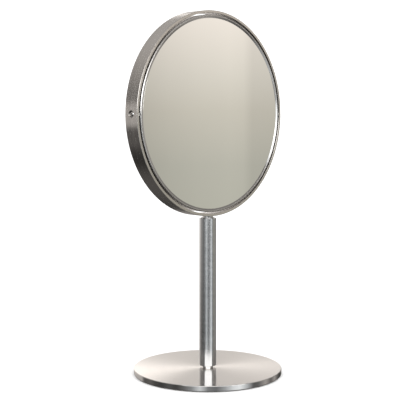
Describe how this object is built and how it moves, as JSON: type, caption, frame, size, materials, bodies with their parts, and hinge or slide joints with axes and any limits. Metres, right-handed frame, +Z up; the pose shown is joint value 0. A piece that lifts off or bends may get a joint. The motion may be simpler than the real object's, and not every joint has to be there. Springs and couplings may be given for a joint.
{
  "type": "extendable shaving mirror",
  "caption": "Free-standing round shaving mirror, plain and magnifying sides, flipping in a deep hoop on a telescopic swivel pole with a round foot.",
  "frame": {"origin": "on the floor at the middle of the round foot, under the pole", "axes": "+Z up along the pole, the plain mirror faces -Y, the mirror's axle lies along X; the pole is pushed fully down"},
  "size_m": [0.19, 0.14, 0.34],
  "materials": {
    "brushed_steel": "lathe-brushed or circumferentially brushed stainless steel",
    "polished_steel": "polished stainless steel",
    "screw_steel": "plain stainless fasteners",
    "mirror_glass": "silvered float glass",
    "seal_rubber": "matt black rubber",
    "bush_plastic": "black acetal",
    "core_plastic": "moulded ABS",
    "adhesive": "foam bonding tape"
  },
  "bodies": {
    "stand": {"base_plate": "brushed_steel", "base_pad": "seal_rubber", "base_screw": "screw_steel", "foot_plug": "polished_steel", "pole_tube": "brushed_steel", "bump_stop": "seal_rubber", "guide_bush": "bush_plastic"},
    "slider": {"glide_sleeve": "bush_plastic", "brake_ring_lower": "seal_rubber", "brake_ring_upper": "seal_rubber"},
    "head": {"slide_rod": "polished_steel", "rod_end_washer": "screw_steel", "rod_end_screw": "screw_steel", "ring_screw": "screw_steel", "outer_ring": "brushed_steel", "pivot_screw_left": "polished_steel", "pivot_screw_right": "polished_steel", "pivot_spacer_left": "polished_steel", "pivot_spacer_right": "polished_steel"},
    "mirror": {"mirror_frame": "polished_steel", "mirror_core": "core_plastic", "plain_glass": "mirror_glass", "magnifying_glass": "mirror_glass", "front_trim": "polished_steel", "rear_trim": "polished_steel", "front_adhesive": "adhesive", "rear_adhesive": "adhesive", "pivot_bush_left": "bush_plastic", "pivot_bush_right": "bush_plastic"}
  },
  "joints": [
    {"name": "pole_slide", "type": "slide", "parent": "stand", "child": "slider", "axis": [0, 0, 1], "range_m": [0, 0.08]},
    {"name": "head_swivel", "type": "hinge", "parent": "slider", "child": "head", "pos_m": [0, 0, 0.245], "axis": [0, 0, 1], "continuous": true},
    {"name": "mirror_flip", "type": "hinge", "parent": "head", "child": "mirror", "pos_m": [0, 0, 0.245], "axis": [1, 0, 0], "continuous": true}
  ]
}
